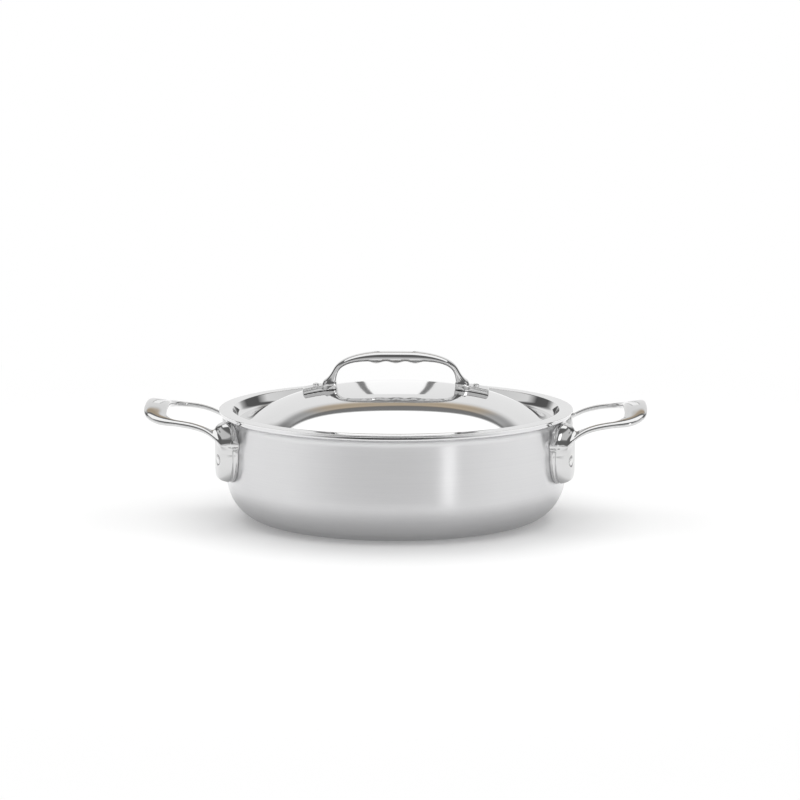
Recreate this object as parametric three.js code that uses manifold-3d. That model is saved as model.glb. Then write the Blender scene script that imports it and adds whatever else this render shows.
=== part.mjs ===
// Saute pan with two cast side handles and a domed lid that sits on its rim.
// Millimetres, +Z up, origin at the middle of the base on the hob, side handles along X.
import * as THREE from "three";
import { mergeVertices } from "three/addons/utils/BufferGeometryUtils.js";
import Module from "manifold-3d";

// Pan body
const wallRadius = 122.5;
const panSheet = 2.5;
const panHeight = 78;
const cornerRun = 28;
const cornerRise = 32;
const flareRun = 3.4;
const flareRise = 5.6;
const lipDepth = 3;
const lipRound = 0.6;

// Lid shell
const lidSheet = 1;
const lidOverhang = 1.1;
const lidPlay = 2;
const stepBend = 1.6;
const stepLean = 3.4;
const valleyDepth = 8;
const valleyWidth = 8;
const valleyRound = 3.2;
const domeRise = 16.1;
const domeFlatness = 0.39;

// Side handle feet, each a pillow on the wall
const footAngle = 18.2;
const footHalfWidth = 16.7;
const footHalfHeight = 21.9;
const footDrop = 24.9;
const footEdge = 2.5;
const footCrown = 8.5;
const footSquareness = 2.5;
const crownOverSides = 3.2;
const crownOverEnds = 13;

// Side handle loop, from the feet along the arms to the end grip
const armSpread = 45.5;
const armHalfWidth = 3.7;
const armHalfDepth = 1.9;
const armTilt = -14;
const rootRise = 8.6;
const rootRun = 16;
const rootSpread = 42;
const rootFlareWidth = 8;
const shoulderReach = 13;
const shoulderRise = 19.6;
const neckReach = 26;
const neckRise = 21.8;
const gripReach = 49.9;
const gripRise = 20.4;
const gripHalfWidth = 8.3;
const gripHalfDepth = 2.8;
const gripLift = 7.5;
const gripTilt = 10;
const gripFrom = 0.64;
const loopSquareness = 5;
const armSquareness = 2.6;

// Side handle rivets
const rivetAngle = 19.6;
const rivetDrop = 4.9;
const rivetShank = 2.5;
const rivetHead = 3.3;
const rivetHeadRise = 1;
const rivetTail = 4.2;
const rivetTailRise = 1.5;
const spotDepth = 0.9;
const spotMargin = 0.5;
const rivetEdgeShare = 0.25;

// Lid handle
const archHalfSpan = 45;
const archRise = 21.1;
const archSquareness = 3.4;
const archGripFull = 0.2;
const archGripGone = 0.95;
const archTopSquareness = 2.5;
const archUnderSquareness = 2.2;
const gripArchHalfWidth = 8.2;
const gripArchAbove = 4;
const gripArchBelow = 1.5;
const gripArchRaise = -0.1;
const legHalfWidth = 6;
const legHalfDepth = 1.95;
const legFlare = 2.9;
const legFlareRise = 10;
const plateThickness = 3.6;
const plateHalfWidth = 7.4;
const plateReach = 22;
const plateSquareness = 7;
const scallopPitch = 14;
const scallopDepth = 1.5;
const scallopCount = 3;

// Lid handle rivets
const lidRivetReach = 12.1;
const lidRivetShank = 1.5;
const lidRivetHead = 2.3;
const lidRivetHeadRise = 1.6;
const lidRivetTail = 2.8;
const lidRivetTailRise = 1.1;

// Clearances
const seatGap = 0.3;
const holeGap = 0.2;

// Mesh fineness
const roundSteps = 48;
const cornerSteps = 6;
const flareSteps = 3;
const lipSteps = 1;
const domeSteps = 6;
const bendSteps = 2;
const rivetSteps = 12;
const sectionSteps = 12;
const footSteps = 24;
const crownRings = 5;
const headSteps = 4;
const tailSteps = 3;
const plateSteps = 6;
const loopSections = 44;
const archSections = 50;
const lineSteps = 96;
const searchEnd = 1e-6;

const rad = THREE.MathUtils.degToRad;
const smoothstep = THREE.MathUtils.smoothstep;
const lerp = THREE.MathUtils.lerp;

// Places that follow from the sizes above
const innerRadius = wallRadius - panSheet;
const lipRadius = wallRadius + flareRun + lipRound;
const flareFoot = panHeight - lipDepth - flareRise;
const lidTop = panHeight + seatGap + lidSheet;
const flangeRadius = lipRadius + lidOverhang;
const stepRadius = innerRadius - lidPlay;
const valleyOuter = stepRadius - stepLean;
const domeRadius = valleyOuter - valleyWidth;
const valleyFloor = lidTop - valleyDepth;
const domeTop = lidTop + domeRise;
const footMiddle = panHeight - footDrop;
const rootStart = -2 * panSheet;
const rivetHeight = footMiddle - rivetDrop;
const spotRadius = wallRadius + footEdge + footCrown - spotDepth;
const plateInner = archHalfSpan - legHalfDepth;
const plateOuter = archHalfSpan + plateReach;
const lidRivetAt = archHalfSpan + lidRivetReach;
const footTurns = [-rad(footAngle), rad(footAngle)];
const rivetTurns = [-rad(rivetAngle), rad(rivetAngle)];
const bothSides = [0, Math.PI];

const wasm = await Module();
wasm.setup();

// A closed three.js geometry as a manifold-3d solid.
function solidOf(geometry) {
  const bare = geometry.clone();
  bare.deleteAttribute("normal");
  bare.deleteAttribute("uv");
  const merged = mergeVertices(bare, 1e-4);
  const index = merged.index.array;
  const kept = [];
  for (let i = 0; i < index.length; i += 3) {
    const [a, b, c] = index.slice(i, i + 3);
    if (a !== b && b !== c && c !== a) {
      kept.push(a, b, c);
    }
  }
  return new wasm.Manifold(
    new wasm.Mesh({
      numProp: 3,
      vertProperties: merged.attributes.position.array,
      triVerts: new Uint32Array(kept),
    }),
  );
}

// A manifold-3d solid back as a three.js geometry.
function geometryOf(solid) {
  const mesh = solid.getMesh();
  const geometry = new THREE.BufferGeometry();
  geometry.setAttribute("position", new THREE.BufferAttribute(mesh.vertProperties, 3));
  geometry.setIndex(new THREE.BufferAttribute(mesh.triVerts, 1));
  geometry.computeVertexNormals();
  return geometry;
}

// A profile of points, radius and height, turned about the Z axis.
function turned(profile, steps) {
  return new THREE.LatheGeometry(profile, steps).rotateX(Math.PI / 2);
}

function point(radius, height) {
  return new THREE.Vector2(radius, height);
}

// Points of an elliptical arc about a centre, between two angles in degrees.
function arc(centre, run, rise, from, to, steps) {
  const points = [];
  for (let i = 0; i <= steps; i++) {
    const angle = rad(lerp(from, to, i / steps));
    points.push(point(centre.x + run * Math.cos(angle), centre.y + rise * Math.sin(angle)));
  }
  return points;
}

// A line of points moved sideways by a distance, to the right of its direction.
function offsetLine(points, distance) {
  return points.map((here, i) => {
    const before = points[Math.max(i - 1, 0)];
    const after = points[Math.min(i + 1, points.length - 1)];
    const along = after.clone().sub(before).normalize();
    return point(Math.max(here.x + along.y * distance, 0), here.y - along.x * distance);
  });
}

// One unit coordinate of a squared-off circle: 2 is a circle, more is squarer.
function squared(value, squareness) {
  return Math.sign(value) * Math.abs(value) ** (2 / squareness);
}

// From 1 at a root to 0 at the end of a run, easing out.
function fade(distance, run) {
  return THREE.MathUtils.clamp(1 - distance / run, 0, 1) ** 2;
}

// Unit points round a squared-off circle, as pairs across and up.
function squaredRing(squareness, count) {
  return Array.from({ length: count }, (_, i) => {
    const angle = (2 * Math.PI * i) / count;
    return point(squared(Math.cos(angle), squareness), squared(Math.sin(angle), squareness));
  });
}

// Rings of equal length joined into a skin and closed at both ends.
function loft(rings) {
  const count = rings[0].length;
  const positions = rings.flat().flatMap((corner) => corner.toArray());
  const index = [];
  for (let r = 0; r + 1 < rings.length; r++) {
    for (let i = 0; i < count; i++) {
      const a = r * count + i;
      const b = r * count + ((i + 1) % count);
      index.push(a, b, a + count, b, b + count, a + count);
    }
  }
  const closeEnd = (ring, turn) => {
    const first = ring * count;
    const middle = new THREE.Vector3();
    rings[ring].forEach((corner) => middle.addScaledVector(corner, 1 / count));
    const centre = positions.length / 3;
    positions.push(...middle.toArray());
    for (let i = 0; i < count; i++) {
      const pair = [first + i, first + ((i + 1) % count)];
      index.push(...(turn ? pair.reverse() : pair), centre);
    }
  };
  closeEnd(0, true);
  closeEnd(rings.length - 1, false);
  const geometry = new THREE.BufferGeometry();
  geometry.setAttribute("position", new THREE.Float32BufferAttribute(positions, 3));
  geometry.setIndex(index);
  return geometry;
}

// A round bar along X, long enough to drill through whatever lies between two distances.
function drill(radius, from, to) {
  const bar = new THREE.CylinderGeometry(radius, radius, to - from, rivetSteps);
  return bar.rotateZ(-Math.PI / 2).translate((from + to) / 2, 0, 0);
}

// The outside of the pan from the middle of the base to the lip, grown by a gap.
function panOutside(gap) {
  const corner = point(wallRadius - cornerRun, cornerRise);
  const flare = point(wallRadius + flareRun + gap, flareFoot);
  return [
    point(0, -gap),
    ...arc(corner, cornerRun + gap, cornerRise + gap, -90, 0, cornerSteps),
    ...arc(flare, -flareRun, flareRise - gap, 0, 90, flareSteps),
  ];
}

function panBody() {
  const corner = point(wallRadius - cornerRun, cornerRise);
  const edge = lipRadius - lipRound;
  const insideRise = panHeight - flareFoot;
  const profile = [
    ...panOutside(0),
    point(lipRadius, panHeight - lipDepth + lipRound),
    ...arc(point(edge, panHeight - lipRound), lipRound, lipRound, 0, 90, lipSteps),
    ...arc(point(innerRadius + flareRun, flareFoot), -flareRun, insideRise, 90, 0, flareSteps),
    ...arc(corner, cornerRun - panSheet, cornerRise - panSheet, 0, -90, cornerSteps),
    point(0, panSheet),
  ];
  let body = solidOf(turned(profile, roundSteps));
  for (const side of bothSides) {
    for (const turn of rivetTurns) {
      const bore = drill(rivetShank + holeGap, innerRadius - panSheet, wallRadius + panSheet);
      body = body.subtract(solidOf(bore.translate(0, 0, rivetHeight).rotateZ(side + turn)));
    }
  }
  return geometryOf(body);
}

// Height of the upper face of the dome at a distance from its middle.
function domeHeight(radius) {
  const share = (radius / domeRadius) ** 2;
  const fall = domeFlatness * share + (1 - domeFlatness) * share * share;
  return domeTop - (domeTop - valleyFloor) * fall;
}

// Angle of the upper face of the dome at a distance from its middle, falling outwards.
function domeAngle(radius) {
  const share = (radius / domeRadius) ** 2;
  const fall = 2 * domeFlatness * share + 4 * (1 - domeFlatness) * share * share;
  return Math.atan(((domeTop - valleyFloor) * fall) / radius);
}

function lidShell() {
  const blendStart = domeRadius - valleyRound;
  const dome = Array.from({ length: domeSteps }, (_, i) => {
    const radius = (blendStart * i) / domeSteps;
    return point(radius, domeHeight(radius));
  });
  const rim = new THREE.Path().moveTo(blendStart, domeHeight(blendStart));
  rim.quadraticCurveTo(domeRadius, valleyFloor, domeRadius + valleyRound, valleyFloor);
  rim.lineTo(valleyOuter - valleyRound, valleyFloor);
  const wall = valleyRound / valleyDepth;
  rim.quadraticCurveTo(
    valleyOuter,
    valleyFloor,
    lerp(valleyOuter, stepRadius, wall),
    lerp(valleyFloor, lidTop, wall),
  );
  const bend = stepBend / valleyDepth;
  rim.lineTo(lerp(stepRadius, valleyOuter, bend), lerp(lidTop, valleyFloor, bend));
  rim.quadraticCurveTo(stepRadius, lidTop, stepRadius + stepBend, lidTop);
  rim.lineTo(flangeRadius, lidTop);
  const upper = [...dome, ...rim.getPoints(bendSteps)];
  const profile = [...offsetLine(upper, lidSheet), ...upper.reverse()];
  let shell = solidOf(turned(profile, roundSteps));
  for (const side of bothSides) {
    shell = shell.subtract(solidOf(lidBore().rotateZ(side)));
  }
  return geometryOf(shell);
}

// The bore of a lid rivet, square to the dome where the rivet stands.
function lidBore() {
  const bore = drill(lidRivetShank + holeGap, -plateThickness * 2, plateThickness * 3);
  bore.rotateY(domeAngle(lidRivetAt) - Math.PI / 2);
  return bore.translate(lidRivetAt, 0, domeHeight(lidRivetAt));
}

// How much of its full height a foot's crown has at a corner of the outline drawn in by a scale.
function crownShare(corner, scale) {
  const along = Math.abs(corner.y) * scale;
  const row = (1 - along ** footSquareness) ** (1 / footSquareness);
  const across = (Math.abs(corner.x) * scale) / row;
  return (1 - across ** crownOverSides) * (1 - along ** crownOverEnds);
}

// One foot as a pillow with its middle on the handle's own axis, before it is turned to its place.
function handleFoot() {
  const outline = squaredRing(footSquareness, footSteps);
  const ring = (scale, reach) =>
    outline.map((corner) => {
      const y = corner.x * footHalfWidth * scale;
      const z = corner.y * footHalfHeight * scale;
      return new THREE.Vector3(wallRadius + reach(corner), y, footMiddle + z);
    });
  const rings = [ring(1, () => rootStart), ring(1, () => footEdge)];
  for (let i = 1; i <= crownRings; i++) {
    const scale = Math.cos((Math.PI / 2) * (i / (crownRings + 1)));
    rings.push(ring(scale, (corner) => footEdge + footCrown * crownShare(corner, scale)));
  }
  return loft(rings);
}

// How far up the arm's middle line stands over the foot's middle, at a distance from the wall.
function armRise(reach) {
  const curve = new THREE.CubicBezierCurve(
    point(0, rootRise),
    point(shoulderReach, shoulderRise),
    point(neckReach, neckRise),
    point(gripReach, gripRise),
  );
  let low = 0;
  let high = 1;
  while (high - low > searchEnd) {
    const middle = (low + high) / 2;
    if (curve.getPoint(middle).x < reach) {
      low = middle;
    } else {
      high = middle;
    }
  }
  return curve.getPoint(low).y;
}

// The middle line of the loop, from inside one foot round the grip to inside the other.
function loopLine() {
  const points = [];
  for (let i = 0; i <= lineSteps; i++) {
    const angle = Math.PI * (1 - i / lineSteps);
    const side = squared(Math.cos(angle), loopSquareness);
    const share = squared(Math.sin(angle), loopSquareness);
    const reach = lerp(rootStart, gripReach, share);
    const spread = lerp(armSpread, rootSpread, fade(reach, rootRun));
    const height = footMiddle + armRise(reach) + gripLift * (1 - side * side);
    points.push(new THREE.Vector3(wallRadius + reach, -side * spread, height));
  }
  return new THREE.CatmullRomCurve3(points);
}

// The loop of a side handle: arms that flare into the feet and widen into a tilted end grip.
function handleLoop() {
  const line = loopLine();
  const section = squaredRing(armSquareness, sectionSteps);
  const rings = [];
  for (let i = 0; i <= loopSections; i++) {
    const middle = line.getPointAt(i / loopSections);
    const along = line.getTangentAt(i / loopSections).setZ(0).normalize();
    const reach = middle.x - wallRadius;
    const root = fade(reach, rootRun);
    const grip = smoothstep(reach / gripReach, gripFrom, 1);
    const halfWidth = lerp(armHalfWidth, gripHalfWidth, grip) + rootFlareWidth * root;
    const halfDepth = lerp(armHalfDepth, gripHalfDepth, grip);
    const outward = new THREE.Vector3(-along.y, along.x, 0);
    const tilt = rad(lerp(armTilt, gripTilt, along.y ** 2));
    const across = outward.clone().multiplyScalar(Math.cos(tilt)).setZ(Math.sin(tilt));
    const up = outward.clone().multiplyScalar(-Math.sin(tilt)).setZ(Math.cos(tilt));
    rings.push(
      section.map((corner) =>
        middle
          .clone()
          .addScaledVector(across, corner.x * halfWidth)
          .addScaledVector(up, corner.y * halfDepth),
      ),
    );
  }
  return loft(rings);
}

// Loop and feet in one casting, cut to lie on the wall and under the lip, and bored for its rivets.
function sideHandle() {
  let handle = solidOf(handleLoop());
  for (const turn of footTurns) {
    handle = handle.add(solidOf(handleFoot().rotateZ(turn)));
  }
  const above = point(lipRadius + seatGap, panHeight + gripRise);
  const pan = [...panOutside(seatGap), above, point(0, above.y)];
  handle = handle.subtract(solidOf(turned(pan, roundSteps)));
  for (const turn of rivetTurns) {
    const bore = drill(rivetShank + holeGap, innerRadius, spotRadius + footEdge);
    const spot = drill(rivetHead + spotMargin, spotRadius, spotRadius + footCrown);
    for (const cut of [bore, spot]) {
      handle = handle.subtract(solidOf(cut.translate(0, 0, rivetHeight).rotateZ(turn)));
    }
  }
  return geometryOf(handle);
}

// A rivet along Z: a domed head over the seat at height 0, a shank and a flatter formed tail below.
function rivet(shank, head, headRise, tail, tailRise, grip) {
  const headFoot = seatGap;
  const tailTop = -grip - seatGap;
  const tailEdge = tailRise * rivetEdgeShare;
  const headEdge = headRise * rivetEdgeShare;
  const profile = [
    ...arc(point(0, tailTop - tailEdge), tail, tailRise - tailEdge, -90, 0, tailSteps),
    point(tail, tailTop),
    point(shank, tailTop),
    point(shank, headFoot),
    point(head, headFoot),
    ...arc(point(0, headFoot + headEdge), head, headRise - headEdge, 0, 90, headSteps),
  ];
  return turned(profile, rivetSteps);
}

// A rivet of a side handle: its tail clears the hollow inside of the wall.
function sideRivet() {
  const flat = innerRadius * Math.cos(Math.PI / roundSteps);
  const inside = Math.sqrt(flat * flat - rivetTail * rivetTail);
  const grip = spotRadius - inside;
  return rivet(rivetShank, rivetHead, rivetHeadRise, rivetTail, rivetTailRise, grip);
}

function lidRivet() {
  const grip = plateThickness + seatGap + lidSheet;
  return rivet(
    lidRivetShank,
    lidRivetHead,
    lidRivetHeadRise,
    lidRivetTail,
    lidRivetTailRise,
    grip,
  );
}

// A flat foot of the lid handle, following the dome from the leg to its square outer end.
function handlePlate() {
  const section = squaredRing(plateSquareness, sectionSteps);
  const rings = [];
  for (let i = 0; i <= plateSteps; i++) {
    const x = lerp(plateInner, plateOuter, i / plateSteps);
    const lean = Math.cos(domeAngle(x));
    const middle = domeHeight(x) + (seatGap + plateThickness / 2) / lean;
    rings.push(
      section.map((corner) => {
        const up = (corner.y * plateThickness) / 2 / lean;
        return new THREE.Vector3(x, corner.x * plateHalfWidth, middle + up);
      }),
    );
  }
  return loft(rings);
}

// The arch of the lid handle: thin legs that flare into the feet, and a grip scalloped for fingers.
function handleArch() {
  const points = [];
  const rootHeight = domeHeight(archHalfSpan) + plateThickness;
  for (let i = 0; i <= lineSteps; i++) {
    const angle = Math.PI * (1 - i / lineSteps);
    const side = squared(Math.cos(angle), archSquareness);
    const share = squared(Math.sin(angle), archSquareness);
    const height = lerp(rootHeight - plateThickness / 2, domeTop + archRise, share);
    const flare = legFlare * fade(height - rootHeight, legFlareRise);
    points.push(new THREE.Vector3(side * (archHalfSpan + flare), 0, height));
  }
  const line = new THREE.CatmullRomCurve3(points);
  const under = squaredRing(archUnderSquareness, sectionSteps);
  const top = squaredRing(archTopSquareness, sectionSteps);
  const section = top.map((corner, i) => (corner.y < 0 ? under[i] : corner));
  const rings = [];
  for (let i = 0; i <= archSections; i++) {
    const middle = line.getPointAt(i / archSections);
    const along = line.getTangentAt(i / archSections);
    const outward = new THREE.Vector3(-along.z, 0, along.x);
    const grip = 1 - smoothstep(Math.abs(middle.x) / archHalfSpan, archGripFull, archGripGone);
    const root = fade(middle.z - rootHeight, legFlareRise);
    const halfWidth = lerp(legHalfWidth, gripArchHalfWidth, Math.max(grip, root));
    const above = lerp(legHalfDepth, gripArchAbove, grip) + legFlare * root;
    const below = lerp(legHalfDepth, gripArchBelow, grip) + legFlare * root;
    const scalloped = Math.abs(middle.x) < (scallopCount * scallopPitch) / 2;
    const wave = (1 + Math.cos((2 * Math.PI * middle.x) / scallopPitch)) / 2;
    const ridge = scalloped ? scallopDepth * wave : 0;
    rings.push(
      section.map((corner) => {
        const depth = corner.y < 0 ? below + ridge : above;
        const rise = gripArchRaise * grip + corner.y * depth;
        const spot = middle.clone().addScaledVector(outward, rise);
        return spot.setY(corner.x * halfWidth);
      }),
    );
  }
  return loft(rings);
}

function lidHandle() {
  let handle = solidOf(handleArch());
  for (const side of bothSides) {
    handle = handle.add(solidOf(handlePlate().rotateZ(side)));
    handle = handle.subtract(solidOf(lidBore().rotateZ(side)));
  }
  return geometryOf(handle);
}

const brushedSteel = new THREE.MeshStandardMaterial({
  color: 0xc8c8ca,
  roughness: 0.35,
  metalness: 1,
});
const polishedSteel = new THREE.MeshStandardMaterial({
  color: 0xdcdcdc,
  roughness: 0.08,
  metalness: 1,
});

function piece(name, geometry, material) {
  const mesh = new THREE.Mesh(geometry, material);
  mesh.name = name;
  return mesh;
}

// The pan with its handles: a front foot has its rivet on the side of negative Y.
const pan = new THREE.Group();
pan.add(piece("pan_body", panBody(), brushedSteel));
const handleGeometry = sideHandle();
const sideRivetGeometry = sideRivet();
for (const side of bothSides) {
  const hand = side === 0 ? "right" : "left";
  const place = new THREE.Group();
  place.rotation.z = side;
  place.add(piece(`${hand}_side_handle`, handleGeometry, polishedSteel));
  for (const turn of rivetTurns) {
    const end = Math.sin(side + turn) < 0 ? "front" : "back";
    const fixing = piece(`${hand}_${end}_rivet`, sideRivetGeometry, polishedSteel);
    fixing.rotation.y = Math.PI / 2;
    fixing.position.set(spotRadius, 0, rivetHeight);
    const seat = new THREE.Group();
    seat.rotation.z = turn;
    seat.add(fixing);
    place.add(seat);
  }
  pan.add(place);
}

// The lid with its handle, resting on the rim.
const lid = new THREE.Group();
lid.add(piece("lid_shell", lidShell(), polishedSteel));
lid.add(piece("lid_handle", lidHandle(), polishedSteel));
const lidRivetGeometry = lidRivet();
for (const side of bothSides) {
  const hand = side === 0 ? "right" : "left";
  const fixing = piece(`lid_${hand}_rivet`, lidRivetGeometry, polishedSteel);
  const lean = domeAngle(lidRivetAt);
  const rise = seatGap + plateThickness;
  fixing.rotation.y = lean;
  fixing.position.set(
    lidRivetAt + rise * Math.sin(lean),
    0,
    domeHeight(lidRivetAt) + rise * Math.cos(lean),
  );
  const place = new THREE.Group();
  place.rotation.z = side;
  place.add(fixing);
  lid.add(place);
}

const sautePan = new THREE.Group();
sautePan.add(pan, lid);
export default sautePan;
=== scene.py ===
"""Looks of a saute pan with lid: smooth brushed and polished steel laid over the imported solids."""
import math

import bpy
import numpy as np
from mathutils import Euler, Matrix, Vector


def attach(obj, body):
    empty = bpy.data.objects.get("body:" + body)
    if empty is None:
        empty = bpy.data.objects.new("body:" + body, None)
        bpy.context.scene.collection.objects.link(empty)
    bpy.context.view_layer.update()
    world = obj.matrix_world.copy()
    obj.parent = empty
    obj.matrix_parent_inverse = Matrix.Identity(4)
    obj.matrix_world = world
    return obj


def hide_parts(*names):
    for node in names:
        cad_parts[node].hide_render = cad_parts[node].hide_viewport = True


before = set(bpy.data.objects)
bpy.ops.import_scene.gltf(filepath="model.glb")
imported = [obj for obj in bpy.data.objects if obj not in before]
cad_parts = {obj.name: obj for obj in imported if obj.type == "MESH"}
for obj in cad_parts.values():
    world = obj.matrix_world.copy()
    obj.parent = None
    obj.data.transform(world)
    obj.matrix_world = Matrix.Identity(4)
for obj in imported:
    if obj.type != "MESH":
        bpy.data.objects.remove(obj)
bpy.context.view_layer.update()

# Sizes of the solids, in millimetres
WALL_RADIUS = 122.5
PAN_SHEET = 2.5
PAN_HEIGHT = 78
CORNER_RUN = 28
CORNER_RISE = 32
FLARE_RUN = 3.4
FLARE_RISE = 5.6
LIP_DEPTH = 3
LIP_ROUND = 0.6
LID_SHEET = 1
LID_OVERHANG = 1.1
LID_PLAY = 2
STEP_LEAN = 3.4
VALLEY_DEPTH = 8
VALLEY_WIDTH = 8
VALLEY_ROUND = 3.2
DOME_RISE = 16.1
DOME_FLATNESS = 0.39
FOOT_ANGLE = math.radians(18.2)
FOOT_HALF_WIDTH = 16.7
FOOT_HALF_HEIGHT = 21.9
FOOT_DROP = 24.9
FOOT_EDGE = 2.5
FOOT_CROWN = 8.5
FOOT_SQUARENESS = 2.5
CROWN_OVER_SIDES = 3.2
CROWN_OVER_ENDS = 13
ARM_SPREAD = 45.5
ARM_HALF_WIDTH = 3.7
ARM_HALF_DEPTH = 1.9
ARM_TILT = math.radians(-14)
ROOT_RISE = 8.6
ROOT_RUN = 16
SHOULDER = (13, 19.6)
NECK = (26, 21.8)
GRIP_REACH = 49.9
GRIP_RISE = 20.4
GRIP_HALF_WIDTH = 8.3
GRIP_HALF_DEPTH = 2.8
GRIP_LIFT = 7.5
GRIP_TILT = math.radians(10)
GRIP_FROM = 0.64
LOOP_SQUARENESS = 5
ARM_SQUARENESS = 2.6
RIVET_ANGLE = math.radians(19.6)
RIVET_DROP = 4.9
RIVET_SHANK = 2.5
RIVET_HEAD = 3.3
RIVET_HEAD_RISE = 1
RIVET_TAIL = 4.2
RIVET_TAIL_RISE = 1.5
SPOT_DEPTH = 0.9
SPOT_MARGIN = 0.5
ARCH_HALF_SPAN = 45
ARCH_RISE = 21.1
ARCH_SQUARENESS = 3.4
ARCH_GRIP_FULL = 0.2
ARCH_GRIP_GONE = 0.95
GRIP_ARCH_HALF_WIDTH = 8.2
GRIP_ARCH_ABOVE = 4
GRIP_ARCH_RAISE = -0.1
LEG_HALF_WIDTH = 6
LEG_HALF_DEPTH = 1.95
LEG_FLARE = 2.9
LEG_FLARE_RISE = 10
PLATE_THICKNESS = 3.6
PLATE_HALF_WIDTH = 7.4
PLATE_REACH = 22
SCALLOP_PITCH = 14
SCALLOP_DEPTH = 1.5
SCALLOP_COUNT = 3
LID_RIVET_REACH = 12.1
LID_RIVET_SHANK = 1.5
LID_RIVET_HEAD = 2.3
LID_RIVET_HEAD_RISE = 1.6
LID_RIVET_TAIL = 2.8
LID_RIVET_TAIL_RISE = 1.1
SEAT_GAP = 0.3

# Fine shapes that the solids lack, or have plainer, in millimetres and shares of a section
LIP_BULGE = 1.2
EDGE_ROUND = 0.12
FLANGE_FALL = 0.22
STEP_BEND = 0.5
ROOT_SPREAD = 46
ROOT_FLARE_WIDTH = 4.5
GRIP_ARCH_BELOW = 2.6
TOP_ROUND = 34
BEVEL_START = 0.54
BEVEL_ANGLE = math.radians(22)
NOSE_ROUND = 0.53
UNDERCUT_START = 0.48
UNDERCUT_ANGLE = math.radians(55)
CASTING_FILLET = 5
LEG_FILLET = 2.5
GROOVE = 0.8
SMALL_ROUND = 0.7
TOUCH_GAP = 0.06
FACET_INSET = 0.12

# Places that follow from the sizes
INNER_RADIUS = WALL_RADIUS - PAN_SHEET
LIP_RADIUS = WALL_RADIUS + FLARE_RUN + LIP_ROUND
FLARE_FOOT = PAN_HEIGHT - LIP_DEPTH - FLARE_RISE
LID_TOP = PAN_HEIGHT + SEAT_GAP + LID_SHEET
RIM_TOP = LID_TOP - FLANGE_FALL
FLANGE_RADIUS = LIP_RADIUS + LID_OVERHANG
STEP_RADIUS = INNER_RADIUS - LID_PLAY
VALLEY_OUTER = STEP_RADIUS - STEP_LEAN
DOME_RADIUS = VALLEY_OUTER - VALLEY_WIDTH
VALLEY_FLOOR = LID_TOP - VALLEY_DEPTH
DOME_TOP = LID_TOP + DOME_RISE
FOOT_MIDDLE = PAN_HEIGHT - FOOT_DROP
ROOT_START = -2 * PAN_SHEET
RIVET_HEIGHT = FOOT_MIDDLE - RIVET_DROP
SPOT_RADIUS = WALL_RADIUS + FOOT_EDGE + FOOT_CROWN - SPOT_DEPTH
PLATE_INNER = ARCH_HALF_SPAN - LEG_HALF_DEPTH
PLATE_OUTER = ARCH_HALF_SPAN + PLATE_REACH
LID_RIVET_AT = ARCH_HALF_SPAN + LID_RIVET_REACH

# One millimetre in metres
MM = 0.001

# How finely the meshes are drawn, in counts and millimetres
ROUND_STEPS = 256
RIVET_STEPS = 40
LID_RIVET_STEPS = 36
CORNER_STEPS = 28
FLARE_STEPS = 14
BEND_STEPS = 12
STEP_BEND_STEPS = 8
FLAT_STEPS = 12
WALL_STEPS = 8
LIP_STEPS = 7
EDGE_STEPS = 6
RIM_STEPS = 5
DOME_STEPS = 48
HEAD_STEPS = 12
TAIL_STEPS = 10
ARM_SAMPLES = 2000
CURVE_SAMPLES = 4001
LINE_SAMPLES = 1200
HANDLE_STEP = 0.5
LID_HANDLE_STEP = 0.7

# Boxes in which the surfaces of the handles are looked for, in millimetres
GRID_MARGIN = 2
HANDLE_HALF_SPAN = 58
HANDLE_DEPTH = 8
HANDLE_HEADROOM = 10
LID_HANDLE_HALF_SPAN = 10

# Least values that keep divisions safe
TINY = 1e-6
SLOPE_GUARD = 1e-3
MIDDLE_GUARD = 0.05
FOOT_GUARD = 0.02


def lerp(a, b, share):
    return a + (b - a) * share


def smoothstep(value, low, high):
    share = np.clip((value - low) / (high - low), 0, 1)
    return share * share * (3 - 2 * share)


def fade(distance, run):
    """From 1 at a root to 0 at the end of a run, easing out."""
    return np.clip(1 - distance / run, 0, 1) ** 2


def squared(value, squareness):
    """One unit coordinate of a squared-off circle: 2 is a circle, more is squarer."""
    return np.sign(value) * np.abs(value) ** (2 / squareness)


def smooth_min(a, b, width):
    """The smaller of two fields, with a fillet of about that width where they meet."""
    share = np.clip(1 - np.abs(a - b) / width, 0, 1)
    return np.minimum(a, b) - share * share * width / 4


def smooth_max(a, b, width):
    return -smooth_min(-a, -b, width)


def arc(centre, run, rise, start, end, steps):
    """Points of an elliptical arc about a centre, between two angles in degrees."""
    angles = np.radians(np.linspace(start, end, steps + 1))
    return [(centre[0] + run * math.cos(a), centre[1] + rise * math.sin(a)) for a in angles]


def bend(start, corner, end, steps):
    """Points of a quadratic curve, without its first point."""
    shares = np.linspace(0, 1, steps + 1)[1:]
    start, corner, end = (np.array(p, float) for p in (start, corner, end))
    return [tuple((1 - t) ** 2 * start + 2 * t * (1 - t) * corner + t * t * end) for t in shares]


def mesh_of(name, points, faces, normals=None):
    """A smooth Blender mesh from points in millimetres."""
    mesh = bpy.data.meshes.new(name)
    mesh.from_pydata((np.asarray(points) * MM).tolist(), [], [list(f) for f in faces])
    mesh.validate()
    mesh.shade_smooth()
    if normals is not None:
        mesh.normals_split_custom_set_from_vertices(normals.tolist())
    return mesh


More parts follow.
